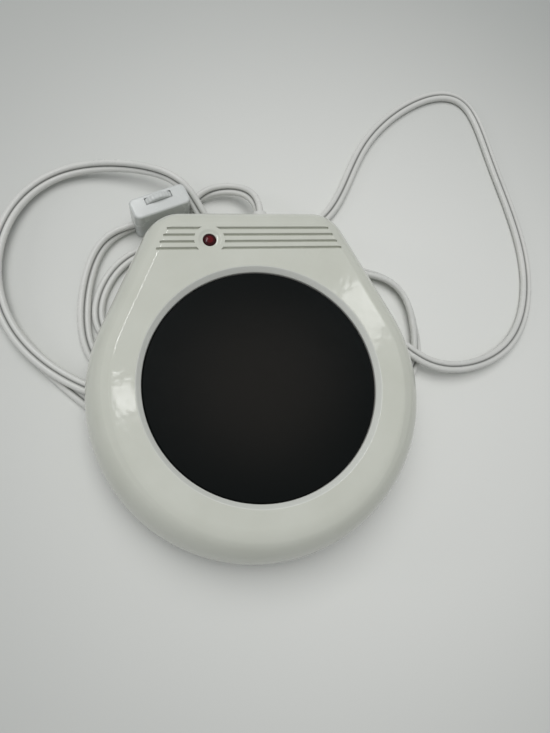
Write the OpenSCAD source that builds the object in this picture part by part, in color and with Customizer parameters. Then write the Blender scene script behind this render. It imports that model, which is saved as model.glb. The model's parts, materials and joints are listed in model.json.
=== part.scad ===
// Electric mug warmer: a white moulded housing with a black heating plate, a red pilot
// lens, a flat two-core lead, an inline thumbwheel switch and a two-blade plug.
// The part stands on the plane z = 0 on four rubber pads. +Y points at the cord side.

/* [Housing] */
// Width of the flat top round the plate's face, out to the crease
top_border = 11; // [9:0.5:16]
// Distance from the plate's centre to the centres of the rear corners, along Y
corner_y = 57.8; // [55:0.5:62]
// Half the distance between the centres of the rear corners
corner_x = 26.8; // [20:0.5:32]
// Radius of the flat top at the rear corners
corner_r = 6.5; // [5:0.5:9]
// How far the side swells out from the crease down to the rim
side_swell = 11.5; // [9:0.5:14]
// Roundness of the side, as the exponent of its superellipse
side_power = 2.3; // [2:0.1:3]
// Angle on the superellipse at which the crease lies
crease_angle = 10; // [6:1:16]
// Thickness of the moulded wall
wall = 2.5; // [2:0.1:3]
// Height of the flat top above the table
top_z = 32; // [30:0.5:38]
// Height of the rim and of the base cover above the table
rim_z = 6.5; // [6:0.5:8]
// Thickness of the base cover
base_t = 2.2; // [1.8:0.1:3]
// Gap between the base cover and the rim around it
base_gap = 0.2; // [0.1:0.05:0.4]
// Width of the sloped lip round the heating plate's face
lip_w = 2; // [1.5:0.1:3]

/* [Vent grooves and pilot lens] */
// Number of grooves across the back of the top
groove_count = 4; // [2:1:5]
// Distance from one groove to the next
groove_pitch = 2.84; // [2.4:0.02:3]
// Width of a groove
groove_w = 1; // [0.8:0.1:1.4]
// Depth of a groove
groove_depth = 1.3; // [0.8:0.1:1.6]
// Distance from the plate's centre to the first groove, along Y
groove_y = 53.7; // [53:0.1:55]
// Place of the pilot lens across the body
lens_x = -16.2; // [-18:0.2:-12]
// Place of the pilot lens from the plate's centre, along Y
lens_y = 57.4; // [56.5:0.1:58.5]
// Radius of the plain round land about the lens
lens_land_r = 6; // [5.6:0.1:6.5]
// Radius of the lens where it shows
lens_r = 2.6; // [2.2:0.1:3]
// Depth of the shallow dish about the lens
lens_dish = 0.5; // [0.4:0.1:1]

/* [Heating plate] */
// Radius of the plate where it shows
plate_r = 44; // [42:0.25:44.5]
// Depth of the plate's face below the flat top
plate_drop = 2.6; // [2.5:0.1:3.2]
// Thickness of the plate's face
plate_t = 1.6; // [1.2:0.1:2.5]
// Width of the flange below the housing, beyond the plate's face
flange_w = 4.6; // [4:0.1:5]
// Thickness of the flange
flange_t = 1.2; // [1:0.1:1.6]
// Thickness of the heat-resistant gasket on the flange
gasket_t = 2; // [1.6:0.1:2.2]
// Distance from the plate's edge in to the edge of the insulators under it
mica_inset = 5; // [4:0.5:8]
// Thickness of one insulator
mica_t = 0.5; // [0.4:0.1:0.8]
// Width of the resistance ribbon
ribbon_w = 2.4; // [1.5:0.1:3]
// Distance from one run of the ribbon to the next
ribbon_pitch = 5; // [4.4:0.1:6]
// Thickness of the ribbon
ribbon_t = 0.4; // [0.3:0.1:0.6]
// Thickness of the steel pressure plate
clamp_t = 1; // [0.8:0.1:1.4]
// Thickness of the ring that holds the flange up
retainer_t = 1; // [0.8:0.1:1.2]
// Radius of the plate's central stud
stud_r = 2; // [1.5:0.1:2.5]
// Depth of the heat shield's face below the pressure plate
shield_drop = 8.4; // [7.5:0.1:8.6]
// Distance from the plate's edge in to the heat shield's rim
shield_inset = 2; // [1:0.5:6]

/* [Fasteners and pads] */
// Distance of the four pads from the middle of the body, across X
pad_x = 37; // [35:0.5:38]
// Distance of the front pads from the plate's centre, along Y
pad_front_y = 43.5; // [43:0.25:44.5]
// Distance of the rear pads from the plate's centre, along Y
pad_rear_y = 43; // [42:0.25:44]
// Radius of the moulded pedestal above a pad
pedestal_r = 7; // [6.5:0.25:7.5]
// Radius of a rubber pad
pad_r = 6; // [5:0.25:6.2]
// Height of a rubber pad
pad_h = 3; // [2.5:0.1:3.5]
// Depth to which a pad sits in its pedestal
pad_seat = 0.6; // [0.4:0.1:0.8]
// Radius of a moulded screw boss
boss_r = 3.4; // [3:0.1:3.6]
// Radius of the base screws' shank
screw_r = 1.4; // [1.2:0.1:1.6]
// Radius of the base screws' head
screw_head_r = 2.8; // [2.4:0.1:3]

/* [Cord] */
// Width of the flat two-core cord
cord_w = 5.4; // [5:0.1:5.8]
// Thickness of the flat two-core cord
cord_t = 2.8; // [2.6:0.1:3]
// Place of the cord's exit across the rear wall
exit_x = 8; // [4:0.5:12]
// Radius of the strain relief's neck in the wall
relief_r = 3.4; // [3.2:0.05:3.6]
// Length of the strain relief's tapered tail outside the wall
relief_l = 2; // [2:0.5:8]
// Radius of the coil at the middle of its turns
coil_r = 30.5; // [29:0.5:33]

/* [Inline switch] */
// Length of the switch along the cord
switch_l = 25; // [24.5:0.5:27]
// Thickness of the switch, both halves together
switch_w = 9.6; // [9.6:0.2:12]
// Height of the switch, which stands on its edge
switch_h = 17; // [16.5:0.25:18]
// Radius of the thumbwheel
wheel_r = 8.4; // [8:0.1:8.6]
// Thickness of the thumbwheel
wheel_t = 2.8; // [2.4:0.1:3]
// How far the thumbwheel stands out of its slot
wheel_proud = 2; // [1.5:0.1:2.5]
// Gap round the thumbwheel in the case
wheel_gap = 0.3; // [0.25:0.05:0.6]
// Radius of the axle
axle_r = 1.5; // [1.2:0.1:1.8]
// Running clearance of the thumbwheel on its axle
axle_gap = 0.05; // [0.02:0.01:0.1]
// Number of ridges round the thumbwheel
ridge_count = 36; // [20:1:40]

/* [Plug] */
// Length of the plug's moulded body
plug_l = 26; // [24:0.5:30]
// Width of the plug's body at its face
plug_w = 23; // [21:0.5:25]
// Thickness of the plug's body
plug_t = 13; // [12:0.25:14]
// Length of the tail that the cord comes out of
plug_tail_l = 20; // [18:1:24]
// Length of a blade
blade_l = 17; // [15:0.5:18]
// Width of a blade
blade_w = 6.3; // [6:0.1:7]
// Thickness of a blade
blade_t = 1.5; // [1.3:0.1:1.7]
// Distance between the blades' centres
blade_pitch = 12.7; // [12:0.1:13]

/* [Hidden] */

eps = 0.01;
shell_fn = 96;
round_fn = 48;
side_steps = 9;

// The flat top, the lip and the pieces under the plate follow the plate's radius.
top_r = plate_r + top_border;
lip_r = plate_r + lip_w;
mica_r = plate_r - mica_inset;
shield_r = plate_r - shield_inset;

// The housing's outline is centred on the origin along Y.
rear_y = corner_y + corner_r + side_swell;
plate_y = (top_r + side_swell - rear_y) / 2;
rear_wall_y = plate_y + rear_y;
base_top = rim_z + base_t;

// The side is part of a superellipse, cut off at the crease.
crease_x = pow(sin(crease_angle), 2 / side_power);
crease_h = pow(cos(crease_angle), 2 / side_power);
swell_w = side_swell / (1 - crease_x);

// Heights of the heating stack, from the top down
plate_z = top_z - plate_drop;
plate_under = plate_z - plate_t;
ceiling_z = top_z - wall;
flange_top = ceiling_z - gasket_t;
flange_z = flange_top - flange_t;
flange_r = plate_r + flange_w;
plate_hole_r = plate_r + 0.3;
plate_skirt = 1.8;
element_top = plate_under - mica_t;
element_z = element_top - ribbon_t;
clamp_top = element_z - mica_t;
clamp_z = clamp_top - clamp_t;
clamp_r = mica_r + 0.5;
nut_h = 2.4;
nut_r = 4;
shield_t = 0.6;
shield_rim_h = 3;
shield_z = clamp_z - shield_drop;
shield_nut_z = shield_z - nut_h;
stud_end_z = shield_nut_z - 1;
stud_gap = 0.3;
thread_gap = 0.02;

// The ring that holds the plate up is screwed to three short bosses under the top.
ring_boss_r = 2.3;
ring_boss_gap = 0.3;
ring_boss_place = flange_r + ring_boss_gap + ring_boss_r;
ring_z = flange_z - retainer_t;
ring_in_r = clamp_r + 3;
ring_screw_r = 1;
ring_head_r = 1.9;
ring_head_h = 1.2;
ring_screw_l = retainer_t + 2.2;
ring_angles = [30, 150, 270];

// Pads, pedestals, base screws and screw bosses share four places.
pad_places = [
    [pad_x, plate_y + pad_rear_y], [-pad_x, plate_y + pad_rear_y],
    [pad_x, plate_y - pad_front_y], [-pad_x, plate_y - pad_front_y]
];
pedestal_z = pad_h - pad_seat;
screw_well = 2;
screw_seat_z = pad_h + screw_well;
screw_head_h = 1.6;
screw_grip = 9;
screw_end_z = base_top + screw_grip;
screw_gap = 0.2;

// Pilot lens, its tube under the top, and the lamp in it
lens_place = [lens_x, plate_y + lens_y];
lens_gap = 0.1;
lens_flange_r = lens_r + 1;
lens_flange_t = 1.2;
lens_dish_r = lens_r + 1.6;
lens_top_z = top_z - lens_dish + 0.5;
tube_in_r = lens_flange_r + 0.1;
tube_out_r = tube_in_r + 1.4;
tube_end_z = ceiling_z - 10;
sleeve_t = 1.4;
lamp_r = tube_in_r - 0.05 - sleeve_t;
lamp_top = ceiling_z - lens_flange_t - 0.3;
lamp_l = 11;
lamp_leg_r = 0.35;
lamp_leg_l = 2.5;
lamp_legs = [-0.9, 0.9];

// Bottom grille of the base cover
slot_rows = 7;
slot_pitch = 5;
slot_cut = 2;

// Strain relief in the rear wall, just above the base cover
relief_gap = 0.1;
relief_flange_r = relief_r + 0.85;
relief_flange_t = 1.4;
relief_rim_t = 1.2;
relief_tip_r = relief_r - 0.4;
exit_z = base_top + relief_flange_r + 0.05;
relief_inner_y = plate_y + corner_y + corner_r - wall + swell_at(exit_z + relief_flange_r, ceiling_z);
relief_end_y = relief_inner_y - relief_flange_t;
lead_start_y = rear_wall_y + relief_rim_t + relief_l;

// The switch stands on its edge beside the housing's rear left corner.
switch_place = [-34.6, 78.1];
switch_turn = 21;
cord_entry_z = 3.4;
case_corner_r = 3;
case_edge_r = 2.5;
slot_w = wheel_t + 0.4;
wheel_z = switch_h + wheel_proud - wheel_r;
wheel_room_r = wheel_r + wheel_gap;
slot_end = 0.1;
slot_depth = 2.5;
slot_l = 2 * (sqrt(pow(wheel_room_r, 2) - pow(switch_h - wheel_z, 2)) + slot_end);
rivet_r = 1.1;
rivet_head_r = 1.8;
rivet_head_t = 0.7;
rivet_x = switch_l / 2 - rivet_head_r - 0.5;
rivet_z = wheel_z + 3;
rivet_skin = 1.6;
parting = 0.35;
collar = 1.1;
ridge_r = 0.3;
ridge_out = 0.1;
axle_front = 3;
axle_back = slot_w + 1;
pocket_x = 5.6;
pocket_w = 4.4;
pocket_h = 8;
pocket_d = 2.2;
contact_t = 0.5;
contact_inset = 0.3;
contact_nose_r = 1.6;
bridge_t = 0.15;

// Coil: one layer winds in, the next winds out on top of it.
coil_pitch = cord_w + 1.6;
coil_layer = cord_t + 0.45;
coil_turns = 2.5;
coil_out_r = coil_r + coil_pitch / 2;
coil_lead = cord_w + 0.6;
coil_heading = 120;
tie_t = 0.5;
tie_w = 5;
coil_z = tie_t + cord_t / 2;
climb_start = 1;
climb_end = 1.32;
plug_rise = 2.3;

// Each point of a route holds x, y, z and the tilt of the flat cord about its own line,
// where 0 lies flat and 90 stands on edge. The lead runs from the strain relief to the switch.
lead_route = [
    [exit_x, lead_start_y, exit_z, 88], [exit_x, lead_start_y + 2.4, exit_z, 80],
    [6.5, 85.7, 9.7, 45], [-0.9, 91.4, 5.7, 30], [-12.6, 90.8, 4.7, 45],
    [-19.5, 86.2, 2.8, 80], switch_end(1, 3.5), switch_end(1)
];

// The main run: round the left side, under the housing to the right side, out in a wide
// loop, back under the rear, out in a loop to the left, under the front and out again.
main_route = [
    switch_end(-1), switch_end(-1, 20, 25), [-72, 12.2, 1.4, 0], [-42, 0.9, 1.4, 0],
    [-10, 2.7, 1.4, 0], [-16.3, 33.3, 1.4, 0], [-49.4, 17.6, 1.4, 0], [-63.5, 25.7, 1.4, 0],
    [-62, 47.8, 1.4, 0], [-39, 72, 1.4, 0], [28.6, 54, 1.4, 0], [74, 50, 3.3, 65],
    [77, 23.5, 3.4, 60], [76.7, 4.7, 1.4, 0], [61.7, -8, 1.4, 0], [42, -2, 1.4, 0],
    [45, 18, 1.4, 0], [63.5, 24, 5.1, 0], [77.9, -2.5, 8.3, 0], [129.5, 7.3, 1.4, 0],
    [145.5, 56, 1.4, 0], [133, 110, 1.4, 0], [130, 149.5, 1.4, 0], [104, 152, 1.4, 0],
    [61, 121, 1.4, 0], [46.1, 70, 1.4, 0], [-6, 66, 1.4, 0], [-18.5, 76.5, 7.7, 30],
    [-24.5, 97.5, 12.3, 80], [-80, 107, 1.1, 22], [-105.5, 69.5, 5.9, 0], [-100, 22.7, 4, 0],
    [-56.2, -8, 5.6, 0], [0.1, -9, 1.4, 0], [18, -17, 1.4, 0], [18, -37, 1.4, 0],
    [-8.3, -46, 1.4, 0], [-53.7, -16, 1.4, 0], [-91, 18.4, 1.4, 0], [-115, 60, coil_z, 0]
];
coil_start = [-115, 60];

// Swell of the side at height z, from the crease (0) to the rim (side_swell)
function swell_at(z, high = top_z) =
    let (h = (high - rim_z) / crease_h, u = max(0, min(1, (z - rim_z) / h)))
    swell_w * (pow(1 - pow(u, side_power), 1 / side_power) - crease_x);

// Points of the side's curve from the rim up to the crease, at angles on the superellipse
function side_points(r, high, low) = [
    for (i = [0:side_steps])
        let (a = 90 - (90 - crease_angle) * i / side_steps)
        [r + swell_w * (pow(sin(a), 2 / side_power) - crease_x),
         i == 0 ? low : rim_z + (high - rim_z) * pow(cos(a), 2 / side_power) / crease_h]
];

// Uniform cubic B-spline through a route, with its ends held at the first and last points
function extended(p) = concat(
    [2 * p[0] - p[1]], p, [2 * p[len(p) - 1] - p[len(p) - 2]]
);
function blend(p, i, f) =
    pow(1 - f, 3) / 6 * p[i] + (3 * pow(f, 3) - 6 * f * f + 4) / 6 * p[i + 1]
    + (-3 * pow(f, 3) + 3 * f * f + 3 * f + 1) / 6 * p[i + 2] + pow(f, 3) / 6 * p[i + 3];
function spline(route, steps) =
    let (p = extended(route), last = len(route) - 1)
    [for (k = [0:last * steps])
        let (i = min(floor(k / steps), last - 1))
        blend(p, i, k / steps - i)];
function place(q) = [q[0], q[1], q[2]];
function unit(v) = v / norm(v);
function along(line, i) =
    unit(place(line[min(i + 1, len(line) - 1)]) - place(line[max(i - 1, 0)]));
function ends_of(line) = len(line) - 1;

// Section of the flat cord with its two rounded cores, and that of a round wire
function flat_section(w, t) = [
    [w / 2, t / 5], [w / 2 - t / 3, t / 2], [t / 3 - w / 2, t / 2], [-w / 2, t / 5],
    [-w / 2, -t / 5], [t / 3 - w / 2, -t / 2], [w / 2 - t / 3, -t / 2], [w / 2, -t / 5]
];
function six_section(w, t) = [
    [w / 2, 0], [w / 2 - t / 2, t / 2], [t / 2 - w / 2, t / 2],
    [-w / 2, 0], [t / 2 - w / 2, -t / 2], [w / 2 - t / 2, -t / 2]
];
function wire_section(r) = [for (i = [0:5]) r * [cos(60 * i), sin(60 * i)]];
function ring_at(line, i, section) =
    let (t = along(line, i), side = unit(cross(t, [0, 0, 1])), up = cross(side, t),
         a = line[i][3], s = cos(a) * side + sin(a) * up, u = cos(a) * up - sin(a) * side)
    [for (q = section) place(line[i]) + q[0] * s + q[1] * u];

// One closed tube swept along a line of [x, y, z, tilt] points, all faces triangles
module tube(line, section) {
    n = len(section);
    last = len(line) - 1;
    points = [for (i = [0:last]) each ring_at(line, i, section)];
    sides = [for (i = [0:last - 1], k = [0:n - 1])
        let (a = i * n + k, b = i * n + (k + 1) % n)
        each [[a, a + n, b + n], [a, b + n, b]]];
    first_cap = [for (k = [1:n - 2]) [0, k, k + 1]];
    last_cap = [for (k = [1:n - 2]) [last * n, last * n + k + 1, last * n + k]];
    polyhedron(points = points, faces = concat(sides, first_cap, last_cap));
}

module wire(route, r = 0.8) {
    tube(spline([for (q = route) [q[0], q[1], q[2], 0]], 3), wire_section(r));
}

module at_plate() { translate([0, plate_y, 0]) children(); }
module at_lens() { translate([lens_place[0], lens_place[1], 0]) children(); }
module at_pads() { for (q = pad_places) translate([q[0], q[1], 0]) children(); }
module at_ring_screws() {
    at_plate() for (a = ring_angles) rotate([0, 0, a]) translate([ring_boss_place, 0, 0]) children();
}
module ring_of(outer, inner, low, high) {
    translate([0, 0, low]) difference() {
        cylinder(r = outer, h = high - low, $fn = round_fn);
        translate([0, 0, -eps]) cylinder(r = inner, h = high - low + 2 * eps, $fn = round_fn);
    }
}

// ---- Housing ----
module puck(r, high, low, fn) {
    rotate_extrude($fn = fn)
        polygon(concat([[0, low]], side_points(r, high, low), [[0, high]]));
}

// The outline is one large and two small round pucks with a skin pulled over them.
module body_form(inset, low, fn) {
    hull() {
        at_plate() puck(top_r - inset, top_z - inset, low, fn);
        for (s = [-1, 1]) translate([s * corner_x, plate_y + corner_y, 0])
            puck(corner_r - inset, top_z - inset, low, 32);
    }
}

module grooves() {
    for (i = [0:groove_count - 1])
        translate([0, plate_y + groove_y + i * groove_pitch, top_z])
            rotate([0, 90, 0]) rotate([0, 0, 90]) linear_extrude(2 * top_r, center = true) {
                translate([-groove_w / 2, groove_w / 2 - groove_depth])
                    square([groove_w, 2 * groove_depth]);
                translate([0, groove_w / 2 - groove_depth]) circle(r = groove_w / 2, $fn = 16);
            }
}

module groove_field() {
    field_low = plate_y + groove_y - groove_w;
    field_high = plate_y + groove_y + (groove_count - 1) * groove_pitch + groove_w;
    difference() {
        linear_extrude(top_z + 1) polygon([
            [-corner_x - 10.5, field_low], [corner_x + 10.5, field_low],
            [corner_x + 5, field_high], [-corner_x - 5, field_high]
        ]);
        at_lens() cylinder(r = lens_land_r, h = top_z + 2, $fn = round_fn);
    }
}

module upper_housing() {
    color("ivory") difference() {
        union() {
            difference() {
                body_form(0, rim_z, shell_fn);
                body_form(wall, rim_z - 1, 64);
            }
            intersection() {
                union() {
                    at_pads() translate([0, 0, base_top]) cylinder(r = boss_r, h = top_z, $fn = 32);
                    at_ring_screws() translate([0, 0, flange_z])
                        cylinder(r = ring_boss_r, h = wall + gasket_t + flange_t, $fn = 32);
                    at_lens() translate([0, 0, tube_end_z])
                        cylinder(r = tube_out_r, h = top_z - tube_end_z, $fn = round_fn);
                }
                body_form(wall / 2, rim_z - 1, 64);
            }
        }
        at_plate() rotate_extrude($fn = shell_fn) polygon([
            [0, flange_z], [plate_hole_r, flange_z], [plate_hole_r, ceiling_z + 0.4],
            [lip_r, top_z], [lip_r, top_z + 1], [0, top_z + 1]
        ]);
        at_pads() translate([0, 0, base_top - 1]) cylinder(r = screw_r, h = screw_grip + 1.5, $fn = 24);
        at_ring_screws() translate([0, 0, flange_z - 1])
            cylinder(r = ring_screw_r, h = ring_screw_l - retainer_t + 1.2, $fn = 24);
        at_lens() {
            translate([0, 0, tube_end_z - 1])
                cylinder(r = tube_in_r, h = ceiling_z - tube_end_z + 1, $fn = round_fn);
            cylinder(r = lens_r + lens_gap, h = top_z + 1, $fn = round_fn);
            translate([0, 0, top_z - lens_dish])
                cylinder(r1 = lens_r + lens_gap, r2 = lens_dish_r, h = lens_dish + eps, $fn = round_fn);
        }
        intersection() {
            grooves();
            groove_field();
        }
        translate([exit_x, relief_end_y, exit_z]) rotate([-90, 0, 0])
            cylinder(r = relief_r + relief_gap, h = wall * 4, $fn = round_fn);
    }
}

module base_outline() {
    inset = wall + base_gap;
    hull() {
        translate([0, plate_y]) circle(r = top_r + side_swell - inset, $fn = shell_fn);
        for (s = [-1, 1]) translate([s * corner_x, plate_y + corner_y])
            circle(r = corner_r + side_swell - inset, $fn = 32);
    }
}

module base_slots() {
    for (i = [0:slot_rows - 1]) {
        x = (i - (slot_rows - 1) / 2) * slot_pitch;
        half = 20 - abs(x) / 2;
        for (s = [-1, 1]) translate([x, plate_y + s * 18, 0]) {
            translate([-slot_cut / 2, -half / 2, 0]) cube([slot_cut, half, 20]);
            for (e = [-1, 1]) translate([0, e * half / 2, 0]) cylinder(r = slot_cut / 2, h = 20, $fn = 16);
        }
    }
}

module base_cover() {
    color("ivory") difference() {
        union() {
            translate([0, 0, rim_z]) linear_extrude(base_t) base_outline();
            at_pads() translate([0, 0, pedestal_z])
                cylinder(r = pedestal_r, h = rim_z - pedestal_z + eps, $fn = round_fn);
        }
        at_pads() {
            translate([0, 0, pedestal_z - 1]) cylinder(r = pad_r, h = 1 + pad_seat, $fn = round_fn);
            cylinder(r = screw_head_r + 0.3, h = screw_seat_z, $fn = 32);
            cylinder(r = screw_r + screw_gap, h = base_top + 1, $fn = 32);
        }
        base_slots();
    }
}

module rubber_pads() {
    color("dimgray") at_pads() rotate_extrude($fn = round_fn)
        polygon([[0, 0], [pad_r - 0.9, 0], [pad_r - 0.1, 0.8], [pad_r - 0.1, pad_h], [0, pad_h]]);
}

module base_screws() {
    color("silver") at_pads() difference() {
        union() {
            translate([0, 0, screw_seat_z - screw_head_h])
                cylinder(r = screw_head_r, h = screw_head_h, $fn = 32);
            translate([0, 0, screw_seat_z]) cylinder(r = screw_r, h = screw_end_z - screw_seat_z, $fn = 24);
        }
        for (a = [0, 90]) rotate([0, 0, a]) translate([-1.5, -0.3, 0])
            cube([3, 0.6, screw_seat_z - screw_head_h + 0.9]);
    }
}

// ---- Heater, from the plate down ----
module heating_plate() {
    edge = 0.4;
    color([0.1, 0.1, 0.1]) at_plate() {
        rotate_extrude($fn = shell_fn) polygon([
            [0, plate_under], [plate_r - plate_skirt, plate_under], [plate_r - plate_skirt, flange_z],
            [flange_r, flange_z], [flange_r, flange_top], [plate_r, flange_top],
            [plate_r, plate_z - edge], [plate_r - edge, plate_z], [0, plate_z]
        ]);
        translate([0, 0, stud_end_z]) cylinder(r = stud_r, h = plate_under - stud_end_z + eps, $fn = 32);
    }
}

module plate_gasket() {
    color("white") at_plate() ring_of(flange_r, plate_hole_r, flange_top, ceiling_z);
}

module insulator(low) {
    color("wheat") at_plate() ring_of(mica_r, stud_r + stud_gap, low, low + mica_t);
}
module upper_insulator() { insulator(element_top); }
module lower_insulator() { insulator(clamp_top); }

// The ribbon runs to and fro across the disc, its turns joined at alternate ends.
function run_half(x) = sqrt(pow(mica_r - 4, 2) - pow(abs(x) + ribbon_w / 2, 2));
module heating_element() {
    runs = 2 * floor((mica_r - 9) / ribbon_pitch);
    first = -(runs - 1) / 2 * ribbon_pitch;
    color("darkgoldenrod") at_plate() translate([0, 0, element_z]) linear_extrude(ribbon_t)
        difference() {
            union() for (i = [0:runs - 1]) {
                x = first + i * ribbon_pitch;
                s = i % 2 == 0 ? 1 : -1;
                reach = i < runs - 1 ? min(run_half(x), run_half(x + ribbon_pitch)) : run_half(x);
                back = i > 0 ? min(run_half(x), run_half(x - ribbon_pitch)) : run_half(x);
                y0 = s > 0 ? -back : -reach;
                y1 = s > 0 ? reach : back;
                translate([x - ribbon_w / 2, y0]) square([ribbon_w, y1 - y0]);
                if (i < runs - 1) translate([x - ribbon_w / 2, s > 0 ? reach - ribbon_w : -reach])
                    square([ribbon_pitch + ribbon_w, ribbon_w]);
            }
            circle(r = stud_r + stud_gap, $fn = 32);
        }
}

module pressure_plate() {
    bead_r = clamp_r * 0.34;
    color("lightgray") at_plate() {
        ring_of(clamp_r, stud_r + stud_gap, clamp_z, clamp_top);
        ring_of(bead_r + 1, bead_r - 1, clamp_z - 0.6, clamp_z + eps);
    }
}

module hex_nut(low) {
    at_plate() translate([0, 0, low]) difference() {
        cylinder(r = nut_r, h = nut_h, $fn = 6);
        translate([0, 0, -eps]) cylinder(r = stud_r + thread_gap, h = nut_h + 2 * eps, $fn = 32);
    }
}
module pressure_nut() { color("silver") hex_nut(clamp_z - nut_h); }
module shield_nut() { color("silver") hex_nut(shield_nut_z); }

module spacer_sleeve() {
    color("gainsboro") at_plate()
        ring_of(stud_r + 1.4, stud_r + thread_gap, shield_z + shield_t, clamp_z - nut_h);
}

module heat_shield() {
    rim = shield_z + shield_t + shield_rim_h;
    color("lightgray") at_plate() rotate_extrude($fn = shell_fn) polygon([
        [stud_r + stud_gap, shield_z], [shield_r - 1, shield_z], [shield_r, shield_z + 1],
        [shield_r, rim], [shield_r - shield_t, rim], [shield_r - shield_t, shield_z + 1.2],
        [shield_r - 1.2, shield_z + shield_t], [stud_r + stud_gap, shield_z + shield_t]
    ]);
}

module retaining_ring() {
    color("silver") difference() {
        union() {
            at_plate() ring_of(flange_r, ring_in_r, ring_z, flange_z);
            at_ring_screws() translate([0, 0, ring_z])
                cylinder(r = ring_boss_r + 0.4, h = retainer_t, $fn = 32);
        }
        at_ring_screws() translate([0, 0, ring_z - 1])
            cylinder(r = ring_screw_r + thread_gap, h = retainer_t + 2, $fn = 24);
    }
}

module ring_screws() {
    color("silver") at_ring_screws() {
        translate([0, 0, ring_z - ring_head_h]) cylinder(r = ring_head_r, h = ring_head_h, $fn = 32);
        translate([0, 0, ring_z - eps]) cylinder(r = ring_screw_r, h = ring_screw_l, $fn = 24);
    }
}

thermostat_place = [17, -15];
thermostat_r = 7;
thermostat_h = 5;
module thermostat() {
    color("tan") translate([thermostat_place[0], plate_y + thermostat_place[1], clamp_z - thermostat_h]) {
        cylinder(r = thermostat_r, h = thermostat_h, $fn = round_fn);
        for (s = [-1, 1]) translate([s * (thermostat_r + 2.5) - 3, -2, 1]) cube([6, 4, 0.8]);
    }
}

fuse_place = [-14, -20];
fuse_r = 1.9;
fuse_l = 11;
fuse_lead_l = 5;
module thermal_fuse() {
    color("peru") translate([fuse_place[0], plate_y + fuse_place[1], clamp_z - fuse_r])
        rotate([0, 90, 0]) {
            cylinder(r = fuse_r, h = fuse_l, center = true, $fn = 32);
            cylinder(r = 0.5, h = fuse_l + 2 * fuse_lead_l, center = true, $fn = 16);
        }
}

// ---- Pilot lamp ----
module pilot_lens() {
    dome = 0.7;
    color("darkred") at_lens() rotate_extrude($fn = round_fn) polygon([
        [0, ceiling_z - lens_flange_t], [lens_flange_r, ceiling_z - lens_flange_t],
        [lens_flange_r, ceiling_z], [lens_r, ceiling_z], [lens_r, lens_top_z - dome],
        [lens_r * 0.8, lens_top_z - dome * 0.4], [lens_r * 0.45, lens_top_z - dome * 0.1],
        [0, lens_top_z]
    ]);
}

module pilot_lamp() {
    color("orange") at_lens() {
        rotate_extrude($fn = 32) polygon([
            [0, lamp_top - lamp_l], [lamp_r, lamp_top - lamp_l], [lamp_r, lamp_top - 1.4],
            [lamp_r * 0.7, lamp_top - 0.4], [0, lamp_top]
        ]);
        for (x = lamp_legs) translate([x, 0, lamp_top - lamp_l - lamp_leg_l])
            cylinder(r = lamp_leg_r, h = lamp_leg_l + eps, $fn = 16);
    }
}

module lamp_sleeve() {
    color("white") at_lens()
        ring_of(tube_in_r - 0.05, lamp_r, tube_end_z, ceiling_z - lens_flange_t);
}

resistor_r = 1.2;
resistor_l = 6.4;
resistor_lead = 2.5;
resistor_place = [-20, plate_y + 58];
module lamp_resistor() {
    color("khaki") translate([resistor_place[0], resistor_place[1], base_top + resistor_r])
        rotate([0, 90, 0]) {
            cylinder(r = resistor_r, h = resistor_l, center = true, $fn = 24);
            cylinder(r = 0.35, h = resistor_l + 2 * resistor_lead, center = true, $fn = 16);
        }
}

// ---- Inner leads ----
cap_r = 2.6;
cap_l = 10;
cap_wall = 0.7;
live_cap = [18, plate_y + 57];
neutral_cap = [-12, plate_y + 48.5];
lead_r = 0.8;
module crimp_caps() {
    color("white") for (q = [live_cap, neutral_cap])
        translate([q[0], q[1], base_top + cap_r]) rotate([0, 90, 0])
            cylinder(r = cap_r, h = cap_l, $fn = 32);
}

module live_wire() {
    zc = base_top + cap_r;
    at_thermostat = [thermostat_place[0] + thermostat_r + 5.5, plate_y + thermostat_place[1]];
    color("black") {
        wire([[exit_x, relief_end_y, exit_z + 1.4], [exit_x, relief_end_y - 6, exit_z + 1],
              [exit_x + 2, live_cap[1] + 2, zc + 1], [live_cap[0] - 5, live_cap[1] + 1, zc],
              [live_cap[0], live_cap[1] + 1, zc]], lead_r);
        wire([[live_cap[0], live_cap[1] - 1.4, zc], [live_cap[0] - 6, live_cap[1] - 1.6, zc],
              [9, plate_y + shield_r + 8, 14], [12, plate_y + shield_r + 4.5, 22],
              [22, plate_y + shield_r - 4, 22.4],
              [shield_r - 10, plate_y + 15, 22],
              [at_thermostat[0] + 6, at_thermostat[1], clamp_z - thermostat_h + 1.4],
              [at_thermostat[0], at_thermostat[1], clamp_z - thermostat_h + 1.4]], lead_r);
    }
}

module neutral_wire() {
    zc = base_top + cap_r;
    fuse_end = fuse_place[0] - fuse_l / 2 - fuse_lead_l;
    color("white") {
        wire([[exit_x, relief_end_y, exit_z - 1.4], [exit_x, relief_end_y - 5, exit_z - 1.2],
              [exit_x - 3, plate_y + 58, zc], [-20, plate_y + 53, zc], [-20, plate_y + 49.5, zc],
              [neutral_cap[0], neutral_cap[1] + 1, zc]], lead_r);
        wire([[neutral_cap[0], neutral_cap[1] - 1.4, zc], [-18, plate_y + shield_r + 5, zc],
              [-26, plate_y + shield_r + 2, 14], [-26, plate_y + shield_r - 3, 22.4],
              [-25, plate_y + shield_r - 10, 22.4],
              [-30, plate_y + 5, 22.4], [fuse_end - 7, plate_y + fuse_place[1], clamp_z - fuse_r],
              [fuse_end, plate_y + fuse_place[1], clamp_z - fuse_r]], lead_r);
    }
}

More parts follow.
